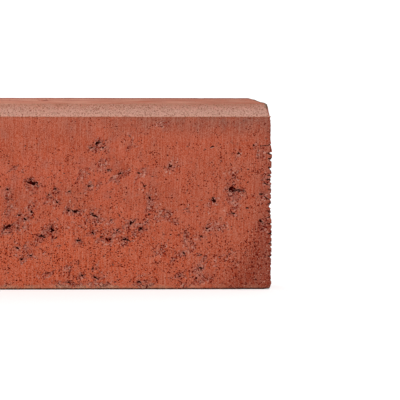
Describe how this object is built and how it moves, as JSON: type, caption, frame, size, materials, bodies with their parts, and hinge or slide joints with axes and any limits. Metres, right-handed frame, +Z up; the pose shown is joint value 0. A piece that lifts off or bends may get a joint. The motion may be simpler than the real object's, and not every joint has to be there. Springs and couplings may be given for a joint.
{
  "type": "garden kerb",
  "caption": "Straight terracotta-coloured pressed concrete garden kerb, rectangular in section with a chamfered front top edge.",
  "frame": {"origin": "middle of the base, where the kerb stands on its bed", "axes": "+Z up, X along the length of the kerb, and -Y out of the chamfered front"},
  "size_m": [1, 0.08, 0.25],
  "materials": {
    "coloured_concrete": "matte"
  },
  "bodies": {
    "root": {"kerb": "coloured_concrete"}
  },
  "joints": []
}
